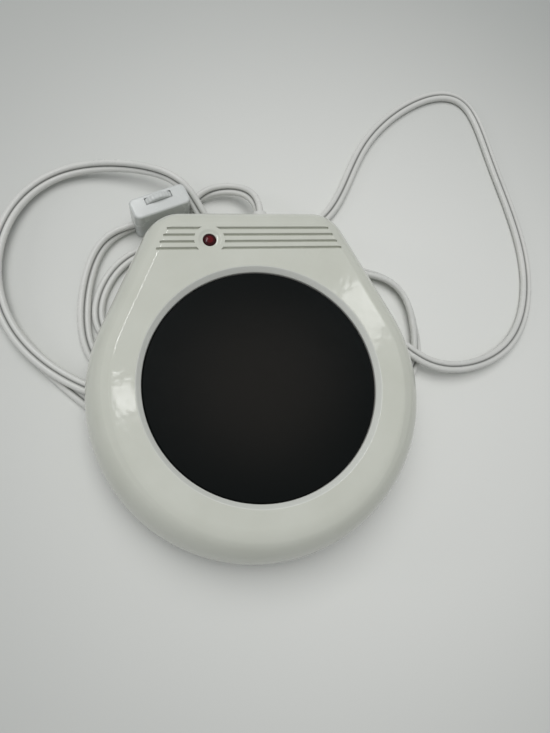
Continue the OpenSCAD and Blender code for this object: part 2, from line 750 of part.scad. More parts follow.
module lamp_wires() {
    low = lamp_top - lamp_l - lamp_leg_l;
    zr = base_top + resistor_r;
    right_end = resistor_place[0] + resistor_l / 2 + resistor_lead;
    color("gray") {
        wire([[lens_place[0] + lamp_legs[0], lens_place[1], low], [lens_place[0] - 1, lens_place[1], low - 2],
              [right_end + 4, resistor_place[1], zr], [right_end, resistor_place[1], zr]], 0.5);
        wire([[lens_place[0] + lamp_legs[1], lens_place[1], low], [lens_place[0] + 2, lens_place[1], low - 1],
              [2, plate_y + 53, 15], [10, plate_y + 57, 13],
              [live_cap[0], live_cap[1] - 0.2, base_top + cap_r + 0.9]], 0.5);
    }
}

// ---- Cord, relief and switch ----
module strain_relief() {
    color("white") translate([exit_x, 0, exit_z]) rotate([-90, 0, 0])
        rotate_extrude($fn = round_fn) polygon([
            [0, relief_end_y], [relief_flange_r, relief_end_y], [relief_flange_r, relief_inner_y],
            [relief_r, relief_inner_y], [relief_r, rear_wall_y], [relief_flange_r, rear_wall_y],
            [relief_flange_r, rear_wall_y + relief_rim_t], [relief_r, rear_wall_y + relief_rim_t + 0.4],
            [relief_tip_r, lead_start_y], [0, lead_start_y]
        ]);
}

module cord_lead() { color("white") tube(spline(lead_route, 3), flat_section(cord_w, cord_t)); }
module cord_main() { color("white") tube(spline(main_route, 2), flat_section(cord_w, cord_t)); }

function switch_end(s, out = 0, tilt = 90) = let (reach = s * (switch_l / 2 + out)) [
    switch_place[0] + reach * cos(switch_turn), switch_place[1] + reach * sin(switch_turn),
    cord_entry_z, tilt
];
module at_switch() {
    translate([switch_place[0], switch_place[1], 0]) rotate([0, 0, switch_turn]) children();
}
module rounded(l, w, r) {
    square([l - 2 * r, w], center = true);
    square([l, w - 2 * r], center = true);
    for (x = [-1, 1], y = [-1, 1]) translate([x * (l / 2 - r), y * (w / 2 - r)]) circle(r = r, $fn = 32);
}
module case_slab(from, to, inset = 0) {
    translate([0, to, switch_h / 2]) rotate([90, 0, 0]) linear_extrude(to - from)
        rounded(switch_l - 2 * inset, switch_h - 2 * inset, case_corner_r - inset);
}
module case_half(from, to) {
    intersection() {
        case_slab(from, to);
        linear_extrude(switch_h) rounded(switch_l, switch_w, case_edge_r);
    }
    // Flat lands at the ends, where the cord goes in
    translate([-switch_l / 2, max(from, -cord_t / 2 - collar), cord_entry_z - cord_w / 2 - collar / 2])
        cube([switch_l, cord_t / 2 + collar, cord_w + collar]);
}
module across(r, from, to, x = 0, z = 0, fn = 32) {
    translate([x, to, z]) rotate([90, 0, 0]) cylinder(r = r, h = to - from, $fn = fn);
}
module rivet_room() {
    half = switch_w / 2;
    for (s = [-1, 1]) {
        across(rivet_r, rivet_skin - half, half + eps, s * rivet_x, rivet_z);
        across(rivet_head_r, half - rivet_head_t, half + eps, s * rivet_x, rivet_z);
    }
}

// A fine groove runs round the case where the two halves meet.
module switch_front() {
    color("white") at_switch() difference() {
        case_half(-switch_w / 2, 0);
        difference() {
            translate([-switch_l, -parting, -eps]) cube([2 * switch_l, parting + eps, 2 * switch_h]);
            case_slab(-2 * parting, parting, parting);
        }
        rivet_room();
        across(axle_r, -axle_front, eps, 0, wheel_z);
        for (s = [-1, 1]) translate([s * pocket_x - pocket_w / 2, -pocket_d, wheel_z - pocket_h / 2])
            cube([pocket_w, pocket_d + eps, pocket_h]);
    }
}

module switch_back() {
    color("white") at_switch() difference() {
        case_half(0, switch_w / 2);
        rivet_room();
        across(axle_r, 0, axle_back, 0, wheel_z);
        across(wheel_room_r, -eps, slot_w, 0, wheel_z, 64);
        translate([-slot_l / 2, -eps, switch_h - slot_depth]) cube([slot_l, slot_w + eps, slot_depth + 1]);
    }
}

module thumbwheel() {
    play = (slot_w - wheel_t) / 2;
    color("white") at_switch() difference() {
        across(wheel_r, play, play + wheel_t, 0, wheel_z, 64);
        across(axle_r + axle_gap, 0, slot_w, 0, wheel_z);
        for (i = [0:ridge_count - 1])
            translate([0, slot_w / 2, wheel_z]) rotate([0, 360 / ridge_count * i, 0])
                translate([wheel_r + ridge_out, 0, 0]) rotate([90, 0, 0])
                    cylinder(r = ridge_r, h = slot_w, center = true, $fn = 16);
    }
}

module wheel_contact() {
    play = (slot_w - wheel_t) / 2;
    color("goldenrod") at_switch() difference() {
        across(pocket_x + 1.4, play - bridge_t, play, 0, wheel_z);
        across(pocket_x - 1.4, 0, slot_w, 0, wheel_z);
        translate([-1.5, -eps, 0]) cube([3, slot_w, switch_h + wheel_r]);
    }
}

module switch_axle() { color("silver") at_switch() across(axle_r, -axle_front, axle_back, 0, wheel_z); }

module switch_contacts() {
    w = pocket_w - 2 * contact_inset;
    h = pocket_h - 2 * contact_inset;
    color("goldenrod") at_switch() for (s = [-1, 1]) translate([s * pocket_x, -pocket_d, wheel_z]) {
        translate([-w / 2, 0, -h / 2]) cube([w, contact_t, h]);
        intersection() {
            translate([0, contact_t, 0]) rotate([0, 90, 0])
                cylinder(r = contact_nose_r, h = w, center = true, $fn = 32);
            translate([-w, 0, -h / 2]) cube([2 * w, pocket_d, h]);
        }
    }
}

module switch_rivets() { color("silver") at_switch() intersection() {
    rivet_room();
    translate([-switch_l, -switch_w / 2, 0]) cube([2 * switch_l, switch_w, switch_h]);
} }

// ---- Coil, tie and plug ----
function smooth(f) = let (g = max(0, min(1, f))) g * g * (3 - 2 * g);
function coil_radius(t) = coil_out_r - coil_pitch * min(t, coil_turns - t);
function coil_height(t) = coil_z + coil_layer * smooth((t - climb_start) / (climb_end - climb_start))
    + (plug_t / 2 - coil_z - coil_layer) * smooth((t - plug_rise) / (coil_turns - plug_rise));
coil_from = coil_heading - 90;
coil_centre = coil_start + coil_lead * [cos(coil_heading), sin(coil_heading)]
    - coil_out_r * [cos(coil_from), sin(coil_from)];
function coil_point(t) = let (a = coil_from + 360 * t)
    [coil_centre[0] + coil_radius(t) * cos(a), coil_centre[1] + coil_radius(t) * sin(a), coil_height(t), 0];
coil_steps = 24 * coil_turns;
plug_heading = coil_heading + 360 * coil_turns;
coil_end = coil_point(coil_turns) + coil_lead * [cos(plug_heading), sin(plug_heading), 0, 0];
coil_line = concat(
    [[coil_start[0], coil_start[1], coil_z, 0]],
    [for (i = [0:coil_steps]) coil_point(i / 24)],
    [coil_end]
);
// Gap between neighbouring passes, beside each other or one above the other
function pass_gap(t, n) = max(
    abs(coil_radius(t) - coil_radius(t + n)) - cord_w,
    abs(coil_height(t) - coil_height(t + n)) - cord_t
);
coil_gap = min([for (n = [1, 2], i = [0:96 * (coil_turns - n)]) pass_gap(i / 96, n)]);
echo("least gap of the coil to itself, mm", coil_gap);

module cord_coil() { color("white") tube(coil_line, six_section(cord_w, cord_t)); }

module coil_tie() {
    a = 120;
    t = (a - coil_from) / 360;
    low = coil_radius(t + 1) - cord_w / 2 - 0.3;
    high = coil_radius(t) + cord_w / 2 + 0.3;
    top = coil_z + coil_layer + cord_t / 2 + 0.25;
    color("dimgray") translate([coil_centre[0], coil_centre[1], 0]) rotate([0, 0, a])
        translate([(low + high) / 2, 0, (top + tie_t) / 2]) rotate([90, 0, 0])
            linear_extrude(tie_w, center = true) difference() {
                rounded(high - low + 2 * tie_t, top + tie_t, 1.2);
                rounded(high - low, top - tie_t, 0.7);
            }
}

module at_plug() {
    translate([coil_end[0], coil_end[1], plug_t / 2]) rotate([0, 0, plug_heading]) children();
}
module plug_body() {
    tail_r = 3.6;
    neck_r = 5;
    rib = plug_tail_l / 9;
    color("white") at_plug() {
        difference() {
            rotate([0, 90, 0]) cylinder(r1 = tail_r, r2 = neck_r, h = plug_tail_l + 4, $fn = 32);
            for (i = [0:3], s = [0, 1]) mirror([0, s, 0])
                translate([rib * (1 + 2 * i), tail_r - 0.6 + 0.3 * i, -plug_t / 2]) cube([rib, 4, plug_t]);
        }
        intersection() {
            translate([0, 0, -plug_t / 2]) linear_extrude(plug_t) hull() {
                translate([plug_tail_l + 3, 0]) square([2, 1.4 * neck_r], center = true);
                for (s = [-1, 1]) {
                    translate([plug_tail_l + plug_l * 0.45, s * (plug_w / 2 - 4)]) circle(r = 4, $fn = 32);
                    translate([plug_tail_l + plug_l - 1.5, s * (plug_w / 2 - 1.5)]) circle(r = 1.5, $fn = 24);
                }
            }
            rotate([90, 0, 0]) linear_extrude(plug_w + 2, center = true) hull() {
                translate([plug_tail_l + 3, 0]) square([2, 1.8 * neck_r], center = true);
                for (s = [-1, 1]) {
                    translate([plug_tail_l + plug_l * 0.4, s * (plug_t / 2 - 2.5)]) circle(r = 2.5, $fn = 24);
                    translate([plug_tail_l + plug_l - 1, s * (plug_t / 2 - 1)]) circle(r = 1, $fn = 24);
                }
            }
        }
    }
}

module plug_blades() {
    face = plug_tail_l + plug_l;
    color("silver") at_plug() for (s = [-1, 1]) difference() {
        translate([face, s * blade_pitch / 2 - blade_t / 2, -blade_w / 2]) cube([blade_l, blade_t, blade_w]);
        translate([face + blade_l - 4, 0, 0]) rotate([90, 0, 0])
            cylinder(r = 1.6, h = plug_w, center = true, $fn = 24);
    }
}

upper_housing();
base_cover();
rubber_pads();
base_screws();
heating_plate();
plate_gasket();
upper_insulator();
heating_element();
lower_insulator();
pressure_plate();
pressure_nut();
spacer_sleeve();
heat_shield();
shield_nut();
retaining_ring();
ring_screws();
thermostat();
thermal_fuse();
pilot_lens();
pilot_lamp();
lamp_sleeve();
lamp_resistor();
live_wire();
neutral_wire();
lamp_wires();
crimp_caps();
strain_relief();
cord_lead();
switch_front();
switch_back();
thumbwheel();
wheel_contact();
switch_axle();
switch_contacts();
switch_rivets();
cord_main();
cord_coil();
coil_tie();
plug_body();
plug_blades();
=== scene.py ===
"""Electric mug warmer: white moulded housing, black heating plate, flat cord with an inline switch.

Lengths are millimetres in the part's own frame, as in the CAD source, until a mesh is made.
The floor and the lights are set in metres.
"""
import json
import math

import bpy
import bmesh
from mathutils import Matrix, Vector


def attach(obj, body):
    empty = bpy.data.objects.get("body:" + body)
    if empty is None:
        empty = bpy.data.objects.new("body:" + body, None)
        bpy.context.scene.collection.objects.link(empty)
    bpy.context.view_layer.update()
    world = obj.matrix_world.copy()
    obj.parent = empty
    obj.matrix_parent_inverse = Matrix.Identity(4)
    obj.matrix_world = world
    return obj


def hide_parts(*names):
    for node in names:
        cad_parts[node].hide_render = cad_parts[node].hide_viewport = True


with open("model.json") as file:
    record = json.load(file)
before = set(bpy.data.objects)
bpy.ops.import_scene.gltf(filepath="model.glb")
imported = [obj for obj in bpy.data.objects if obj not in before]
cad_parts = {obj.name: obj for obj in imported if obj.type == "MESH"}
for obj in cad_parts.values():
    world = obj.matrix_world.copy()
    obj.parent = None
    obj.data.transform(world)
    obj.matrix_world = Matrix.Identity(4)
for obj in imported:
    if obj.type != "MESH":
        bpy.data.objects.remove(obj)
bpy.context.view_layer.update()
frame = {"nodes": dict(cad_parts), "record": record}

MM = 0.001

# Driving sizes, the same as in the CAD source
TOP_R, CORNER_X, CORNER_Y, CORNER_R = 55, 26.8, 57.8, 6.5
SIDE_SWELL, SIDE_POWER, CREASE_ANGLE = 11.5, 2.3, math.radians(10)
WALL, TOP_Z, RIM_Z, BASE_TOP = 2.5, 32, 6.5, 8.7
REAR_Y = CORNER_Y + CORNER_R + SIDE_SWELL
PLATE_Y = (TOP_R + SIDE_SWELL - REAR_Y) / 2
CEILING_Z = TOP_Z - WALL
PLATE_HOLE_R = 44.3
PAD_X, PAD_FRONT_Y, PAD_REAR_Y, BOSS_R = 37, 43.5, 43, 3.4
LENS = (-16.2, PLATE_Y + 57.4)
LENS_R, LENS_GAP, LENS_FLANGE_R, LENS_FLANGE_T, LENS_LAND_R = 2.6, 0.1, 3.6, 1.2, 6
TUBE_IN_R, TUBE_OUT_R, TUBE_END_Z = 3.7, 5.1, 19.5
GROOVE_Y, GROOVE_PITCH, GROOVE_W, GROOVE_DEPTH, GROOVE_COUNT = 53.7, 2.84, 1, 1.3, 4
EXIT_X, EXIT_Z, RELIEF_HOLE_R, RELIEF_RIM_T, RELIEF_L = 8, 13, 3.5, 1.2, 2
LEAD_START_Y = PLATE_Y + REAR_Y + RELIEF_RIM_T + RELIEF_L
CORD_W, CORD_T = 5.4, 2.8
SWITCH_PLACE, SWITCH_TURN, SWITCH_L, CORD_ENTRY_Z = (-34.6, 78.1), math.radians(21), 25, 3.4
SWITCH_W, SWITCH_H, AXLE_R, AXLE_GAP = 9.6, 17, 1.5, 0.05
WHEEL_R, WHEEL_T, WHEEL_GAP, WHEEL_PROUD, RIDGE_COUNT = 8.4, 2.8, 0.3, 2, 36
WHEEL_Z, SLOT_W = SWITCH_H + WHEEL_PROUD - WHEEL_R, 3.2
COIL_START, COIL_HEADING, COIL_R, COIL_TURNS = (-115, 60), 120, 30.5, 2.5
COIL_PITCH, COIL_LAYER, COIL_LEAD, TIE_T = CORD_W + 1.6, CORD_T + 0.45, CORD_W + 0.6, 0.5
COIL_Z = TIE_T + CORD_T / 2
CLIMB_START, CLIMB_END, PLUG_RISE, PLUG_T = 1, 1.32, 2.3, 13

# Finer forms of the shown pieces: bosses, roundings of rim and crease, edges and ends of the
# grooves, the lens, the web of the cord, the edges of the switch and the ridges of its wheel
FRONT_BOSS_TOP, REAR_BOSS_TOP = 27.5, CEILING_Z + 0.5
RIM_ROUND, EASE_SIDE, EASE_MORE, EASE_ROOM = 0.5, 0.6, 1.9, 2.8
GROOVE_EASE, GROOVE_END, GROOVE_TAPER = 0.22, 10.5, 5.5
LENS_DOME, LENS_RIM = 0.75, 0.1
# The last of these numbers is the share of painted shade on the points beside the bottom of the
# cord's groove.
CORE_STEPS, WEB_SHARE, WEB_EDGE_SHADE = 7, 0.4, 0.4
CASE_CORNER, CASE_EDGE, CORE_EDGE, SEAM = 2.6, 0.9, 0.6, 0.3
RIDGE_STEPS, RIDGE_DEPTH, RIDGE_ZONE = 10, 0.14, 0.2


def placed(name, data):
    """A new object in the scene, made from a mesh, a camera or a lamp."""
    made = bpy.data.objects.new(name, data)
    bpy.context.scene.collection.objects.link(made)
    return made


# ---- Camera at the photograph's place ----
CAMERA_AT, CAMERA_TURN = (-33.09, -46.32, 228.67), (14.15, -9.66, -5.28)
FRAME_H, FOCAL_PX, SENSOR_W = 733, 550, 36
camera = placed("camera", bpy.data.cameras.new("camera"))
camera.location = Vector(CAMERA_AT) * MM
camera.rotation_euler = [math.radians(a) for a in CAMERA_TURN]
camera.data.sensor_width = SENSOR_W
camera.data.lens = SENSOR_W * FOCAL_PX / FRAME_H
camera.data.clip_start = 0.01
bpy.context.scene.camera = camera
bpy.context.scene.view_settings.view_transform = "Standard"


# ---- Materials ----
TONE_DETAIL, GLOSS_DETAIL, SLOW_DETAIL, GLOSS_SCALE, NOISE_ROUGHNESS = 4.0, 5.0, 2.0, 2.3, 0.55
NOISE_LOW, NOISE_HIGH = 0.3, 0.7


def linear(r, g, b):
    """A colour written as 0 to 255, as the shader wants it."""
    def one(c):
        """One channel of it."""
        c /= 255
        return c / 12.92 if c <= 0.04045 else ((c + 0.055) / 1.055) ** 2.4
    return (one(r), one(g), one(b), 1)


def node(tree, kind, **values):
    """A shader node with its properties or sockets set by name."""
    made = tree.nodes.new(kind)
    for key, value in values.items():
        if key in made.inputs:
            made.inputs[key].default_value = value
        else:
            setattr(made, key, value)
    return made


def noise(tree, where, scale, detail, stretch=(1, 1, 1)):
    """Cloudy values about 0.5, at a place on the object."""
    mapping = node(tree, "ShaderNodeMapping")
    mapping.inputs["Scale"].default_value = stretch
    tree.links.new(where, mapping.inputs["Vector"])
    made = node(tree, "ShaderNodeTexNoise", Scale=scale, Detail=detail,
                Roughness=NOISE_ROUGHNESS)
    tree.links.new(mapping.outputs["Vector"], made.inputs["Vector"])
    return made.outputs["Fac"]


def ranged(tree, value, start, stop, low, high, **kind):
    """Maps the values from start to stop onto those from low to high."""
    made = node(tree, "ShaderNodeMapRange", **kind)
    for key, limit in (("From Min", start), ("From Max", stop), ("To Min", low), ("To Max", high)):
        made.inputs[key].default_value = limit
    tree.links.new(value, made.inputs["Value"])
    return made.outputs["Result"]


def between(tree, value, first, second):
    """Mixes two colours, or a colour socket with a colour, by a value from 0 to 1."""
    made = node(tree, "ShaderNodeMix", data_type="RGBA")
    tree.links.new(value, made.inputs["Factor"])
    low, high = [i for i in made.inputs if i.type == "RGBA"]
    if isinstance(first, tuple):
        low.default_value = first
    else:
        tree.links.new(first, low)
    high.default_value = second
    return [o for o in made.outputs if o.type == "RGBA"][0]


def surface(name, first, second, rough, blotch, grain, bump, depth=0.0002, stretch=(1, 1, 1),
            **sockets):
    """A surface whose colour drifts between two tones, with uneven gloss and a fine grain."""
    made = bpy.data.materials.new(name)
    made.use_nodes = True
    tree = made.node_tree
    shader = tree.nodes["Principled BSDF"]
    where = node(tree, "ShaderNodeTexCoord").outputs["Object"]
    drift = noise(tree, where, blotch, TONE_DETAIL, stretch)
    share = ranged(tree, drift, NOISE_LOW, NOISE_HIGH, 0, 1)
    tone = between(tree, share, linear(*first), linear(*second))
    tree.links.new(tone, shader.inputs["Base Color"])
    drift = noise(tree, where, blotch * GLOSS_SCALE, GLOSS_DETAIL, stretch)
    tree.links.new(ranged(tree, drift, NOISE_LOW, NOISE_HIGH, *rough), shader.inputs["Roughness"])
    relief = node(tree, "ShaderNodeBump", Strength=bump, Distance=depth)
    tree.links.new(noise(tree, where, grain, SLOW_DETAIL, stretch), relief.inputs["Height"])
    tree.links.new(relief.outputs["Normal"], shader.inputs["Normal"])
    for key, value in sockets.items():
        shader.inputs[key.replace("_", " ")].default_value = value
    return made


MATERIALS = {
    "white_gloss": surface("housing plastic", (200, 202, 191), (206, 208, 198), (0.06, 0.1),
                           blotch=45, grain=1100, bump=0.02, depth=0.0003),
    "switch_white": surface("switch plastic", (200, 203, 201), (206, 209, 207), (0.2, 0.3),
                            blotch=60, grain=1200, bump=0.04, depth=0.0003),
    "black_plate": surface("black coating", (10, 14, 14), (13, 16, 16), (0.36, 0.48), blotch=30,
                           grain=3200, bump=0.12, depth=0.0002, Specular_IOR_Level=0.1),
    "red_lens": surface("red lens", (78, 8, 14), (100, 12, 22), (0.14, 0.2), blotch=400,
                        grain=2000, bump=0.02, depth=0.0001, Specular_IOR_Level=0.35),
    "rubber_grey": surface("grey rubber", (58, 58, 58), (72, 72, 71), (0.6, 0.8), blotch=300,
                           grain=3000, bump=0.3),
    "steel": surface("zinc-plated steel", (160, 162, 164), (188, 189, 188), (0.25, 0.42),
                     blotch=250, grain=1500, bump=0.08, depth=0.0002, stretch=(1, 6, 1),
                     Metallic=1.0),
    "aluminium_sheet": surface("aluminium sheet", (190, 192, 194), (210, 211, 212), (0.28, 0.42),
                               blotch=200, grain=900, bump=0.08, depth=0.0002, stretch=(1, 12, 1),
                               Metallic=1.0),
    "mica": surface("mica board", (170, 148, 112), (200, 180, 142), (0.45, 0.65), blotch=420,
                    grain=1500, bump=0.25),
    "gasket": surface("silicone rubber", (214, 213, 206), (226, 225, 219), (0.5, 0.7), blotch=200,
                      grain=2500, bump=0.1),
    "ribbon": surface("resistance ribbon", (128, 120, 108), (156, 146, 130), (0.35, 0.5),
                      blotch=300, grain=1500, bump=0.1, depth=0.0002, stretch=(1, 8, 1),
                      Metallic=1.0),
    "contact_brass": surface("stamped brass", (188, 150, 84), (208, 172, 104), (0.25, 0.4),
                             blotch=300, grain=1500, bump=0.05, depth=0.0002, Metallic=1.0),
    "ceramic_tan": surface("tan ceramic", (176, 148, 110), (196, 170, 132), (0.4, 0.6), blotch=350,
                           grain=2200, bump=0.2),
    "lamp_glass": surface("lamp glass", (214, 160, 120), (230, 182, 140), (0.05, 0.12), blotch=300,
                          grain=1500, bump=0.02, depth=0.0001, Transmission_Weight=0.6),
    "sleeve_white": surface("white sleeving", (208, 208, 202), (224, 224, 219), (0.5, 0.7),
                            blotch=500, grain=2600, bump=0.35, depth=0.0003, stretch=(1, 1, 4)),
    "wire_black": surface("black insulation", (24, 24, 24), (38, 38, 37), (0.3, 0.5), blotch=300,
                          grain=2600, bump=0.1),
    "wire_white": surface("white insulation", (210, 210, 204), (224, 224, 219), (0.3, 0.5),
                          blotch=300, grain=2600, bump=0.1),
    "cord_white": surface("cord insulation", (208, 209, 205), (215, 215, 211), (0.22, 0.34),
                          blotch=60, grain=1400, bump=0.06, depth=0.0003),
    "tie_black": surface("tie plastic", (22, 22, 22), (34, 34, 33), (0.35, 0.5), blotch=300,
                         grain=2000, bump=0.2),
    "blade_nickel": surface("nickel-plated brass", (190, 186, 176), (210, 206, 196), (0.15, 0.3),
                            blotch=300, grain=1200, bump=0.05, depth=0.0002, stretch=(1, 6, 1),
                            Metallic=1.0),
}


def blend(made, share, tone):
    """Blends a material's colour toward a tone by a share from 0 to 1."""
    tree = made.node_tree
    base = tree.nodes["Principled BSDF"].inputs["Base Color"]
    tree.links.new(between(tree, share, base.links[0].from_socket, linear(*tone)), base)


def painted_light_centre(made, middle, reach, tone):
    """Blends a material toward a tone near a point: painted light, strongest at the point and
    fading out over the reach.
    """
    tree = made.node_tree
    where = node(tree, "ShaderNodeTexCoord").outputs["Object"]
    gap = node(tree, "ShaderNodeVectorMath", operation="DISTANCE")
    tree.links.new(where, gap.inputs[0])
    gap.inputs[1].default_value = [v * MM for v in middle]
    light_share = ranged(tree, gap.outputs["Value"], 0, reach * MM, 1, 0,
                  interpolation_type="SMOOTHERSTEP")
    blend(made, light_share, tone)


def painted_ring_tone(made, middle, inner, outer, above, tone):
    """Colours a ring about a vertical line: painted shade on the rim of the lens, painted light on
    the lip round the plate.
    """
    tree = made.node_tree
    apart = node(tree, "ShaderNodeSeparateXYZ")
    tree.links.new(node(tree, "ShaderNodeTexCoord").outputs["Object"], apart.inputs["Vector"])
    flat = node(tree, "ShaderNodeCombineXYZ")
    tree.links.new(apart.outputs["X"], flat.inputs["X"])
    tree.links.new(apart.outputs["Y"], flat.inputs["Y"])
    gap = node(tree, "ShaderNodeVectorMath", operation="DISTANCE")
    tree.links.new(flat.outputs["Vector"], gap.inputs[0])
    gap.inputs[1].default_value = (middle[0] * MM, middle[1] * MM, 0)
    painted_mask = None
    for operation, socket, limit in (("GREATER_THAN", gap.outputs["Value"], inner),
                                     ("LESS_THAN", gap.outputs["Value"], outer),
                                     ("GREATER_THAN", apart.outputs["Z"], above)):
        test = node(tree, "ShaderNodeMath", operation=operation)
        tree.links.new(socket, test.inputs[0])
        test.inputs[1].default_value = limit * MM
        if painted_mask is not None:
            both = node(tree, "ShaderNodeMath", operation="MULTIPLY")
            tree.links.new(painted_mask, both.inputs[0])
            tree.links.new(test.outputs["Value"], both.inputs[1])
            test = both
        painted_mask = test.outputs["Value"]
    blend(made, painted_mask, tone)


def swell(made, scale, strength, depth):
    """A slow unevenness under the fine grain, which breaks up the edges of a highlight."""
    tree = made.node_tree
    fine = [n for n in tree.nodes if n.type == "BUMP"][0]
    slow = node(tree, "ShaderNodeBump", Strength=strength, Distance=depth)
    where = node(tree, "ShaderNodeTexCoord").outputs["Object"]
    tree.links.new(noise(tree, where, scale, SLOW_DETAIL), slow.inputs["Height"])
    tree.links.new(slow.outputs["Normal"], fine.inputs["Normal"])


def painted_shade_by_mark(made, mark, tone):
    """Blends a material toward a tone by a number that the mesh carries at each point, here to
    paint shade into the cord's groove.
    """
    number = node(made.node_tree, "ShaderNodeAttribute", attribute_name=mark)
    blend(made, number.outputs["Fac"], tone)


# Painted reflection: the plate's black coating made lighter towards its middle.
painted_light_centre(MATERIALS["black_plate"], middle=(0, PLATE_Y, 29), reach=55, tone=(32, 31, 29))
# Painted shade: the cord's groove darkened by the number its mesh carries at each point.
painted_shade_by_mark(MATERIALS["cord_white"], mark="groove", tone=(120, 121, 118))
swell(MATERIALS["white_gloss"], scale=110, strength=0.3, depth=0.0005)
# Painted shade: the lens's dome darker towards its rim.
painted_ring_tone(MATERIALS["red_lens"], LENS, inner=1.4, outer=4, above=0, tone=(50, 5, 9))
# Painted light: the sloped lip round the plate coloured lighter than the rest of the housing.
painted_ring_tone(MATERIALS["white_gloss"], (0, PLATE_Y), inner=40, outer=46.25, above=29.6,
          tone=(216, 218, 211))

# Every CAD node gets the material of its slot. The pieces made below replace some of them.
for part in frame["record"]["subparts"]:
    shown = frame["nodes"][part["node"]]
    shown.data.materials.clear()
    shown.data.materials.append(MATERIALS[part["material_slot"]])


# ---- Making pieces ----
def piece(name, verts, faces, slot, replaces, body="warmer", sharp=30):
    """A smooth-shaded piece from points in millimetres, riding on a body in place of CAD nodes."""
    data = bpy.data.meshes.new(name)
    data.from_pydata([Vector(v) * MM for v in verts], [], faces)
    data.validate()
    return dressed(name, data, slot, replaces, body, sharp)


def dressed(name, data, slot, replaces, body="warmer", sharp=30):
    """A mesh made into a shown piece, with its material, body and the CAD nodes it stands for."""
    made = placed(name, data)
    data.materials.clear()
    data.materials.append(MATERIALS[slot])
    data.polygons.foreach_set("use_smooth", [True] * len(data.polygons))
    data.set_sharp_from_angle(angle=math.radians(sharp))
    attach(made, body)
    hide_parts(*replaces)
    return made


def joined(rings, close_ends=True):
    """Faces that join rings of equal length, each to the next, with a cap on both ends."""
    n = len(rings[0])
    verts = [p for ring in rings for p in ring]
    faces = []
    for i in range(len(rings) - 1):
        for k in range(n):
            m = (k + 1) % n
            faces.append((i * n + k, i * n + m, (i + 1) * n + m, (i + 1) * n + k))
    if close_ends:
        faces.append(tuple(reversed(range(n))))
        faces.append(tuple(range((len(rings) - 1) * n, len(rings) * n)))
    return verts, faces


# ---- Cords, on the same routes as in the CAD source ----
def switch_end(side, out=0, tilt=90):
    """A point of a cord on the switch's long axis, at one end or some way out from it."""
    reach = side * (SWITCH_L / 2 + out)
    return (SWITCH_PLACE[0] + reach * math.cos(SWITCH_TURN),
            SWITCH_PLACE[1] + reach * math.sin(SWITCH_TURN), CORD_ENTRY_Z, tilt)


# Each point holds x, y, z and the tilt of the flat cord, 0 lying flat and 90 on edge.
LEAD_ROUTE = [
    (EXIT_X, LEAD_START_Y, EXIT_Z, 88), (EXIT_X, LEAD_START_Y + 2.4, EXIT_Z, 80),
    (6.5, 85.7, 9.7, 45), (-0.9, 91.4, 5.7, 30), (-12.6, 90.8, 4.7, 45), (-19.5, 86.2, 2.8, 80),
    switch_end(1, 3.5), switch_end(1),
]
MAIN_ROUTE = [
    switch_end(-1), switch_end(-1, 20, 25), (-72, 12.2, 1.4, 0), (-42, 0.9, 1.4, 0),
    (-10, 2.7, 1.4, 0), (-16.3, 33.3, 1.4, 0), (-49.4, 17.6, 1.4, 0), (-63.5, 25.7, 1.4, 0),
    (-62, 47.8, 1.4, 0), (-39, 72, 1.4, 0), (28.6, 54, 1.4, 0), (74, 50, 3.3, 65),
    (77, 23.5, 3.4, 60), (76.7, 4.7, 1.4, 0), (61.7, -8, 1.4, 0), (42, -2, 1.4, 0),
    (45, 18, 1.4, 0), (63.5, 24, 5.1, 0), (77.9, -2.5, 8.3, 0), (129.5, 7.3, 1.4, 0),
    (145.5, 56, 1.4, 0), (133, 110, 1.4, 0), (130, 149.5, 1.4, 0), (104, 152, 1.4, 0),
    (61, 121, 1.4, 0), (46.1, 70, 1.4, 0), (-6, 66, 1.4, 0), (-18.5, 76.5, 7.7, 30),
    (-24.5, 97.5, 12.3, 80), (-80, 107, 1.1, 22), (-105.5, 69.5, 5.9, 0), (-100, 22.7, 4, 0),
    (-56.2, -8, 5.6, 0), (0.1, -9, 1.4, 0), (18, -17, 1.4, 0), (18, -37, 1.4, 0),
    (-8.3, -46, 1.4, 0), (-53.7, -16, 1.4, 0), (-91, 18.4, 1.4, 0), (-115, 60, COIL_Z, 0),
]


def spline(route, steps):
    """Uniform cubic B-spline through a route, its ends held at the first and last points."""
    p = [Vector(q) for q in route]
    p = [2 * p[0] - p[1]] + p + [2 * p[-1] - p[-2]]
    line = []
    for i in range(len(p) - 3):
        for k in range(steps):
            f = k / steps
            line.append((1 - f) ** 3 / 6 * p[i] + (3 * f ** 3 - 6 * f * f + 4) / 6 * p[i + 1]
                        + (-3 * f ** 3 + 3 * f * f + 3 * f + 1) / 6 * p[i + 2]
                        + f ** 3 / 6 * p[i + 3])
    return line + [Vector(route[-1])]


def smooth(f):
    """A soft step from 0 to 1."""
    f = min(max(f, 0), 1)
    return f * f * (3 - 2 * f)


def coil_line(per_turn):
    """The coil: a turn and a quarter inward in one layer, and the same outward on top of it."""
    out_r = COIL_R + COIL_PITCH / 2
    heading = math.radians(COIL_HEADING)
    first = heading - math.pi / 2
    centre = Vector(COIL_START) + COIL_LEAD * Vector((math.cos(heading), math.sin(heading)))
    centre -= out_r * Vector((math.cos(first), math.sin(first)))
    line = []
    for i in range(int(per_turn * COIL_TURNS) + 1):
        t = i / per_turn
        r = out_r - COIL_PITCH * min(t, COIL_TURNS - t)
        z = COIL_Z + COIL_LAYER * smooth((t - CLIMB_START) / (CLIMB_END - CLIMB_START))
        z += (PLUG_T / 2 - COIL_Z - COIL_LAYER) * smooth((t - PLUG_RISE) / (COIL_TURNS - PLUG_RISE))
        a = first + 2 * math.pi * t
        line.append(Vector((centre[0] + r * math.cos(a), centre[1] + r * math.sin(a), z, 0)))
    last = heading + 2 * math.pi * COIL_TURNS
    end = line[-1] + COIL_LEAD * Vector((math.cos(last), math.sin(last), 0, 0))
    return line + [end]


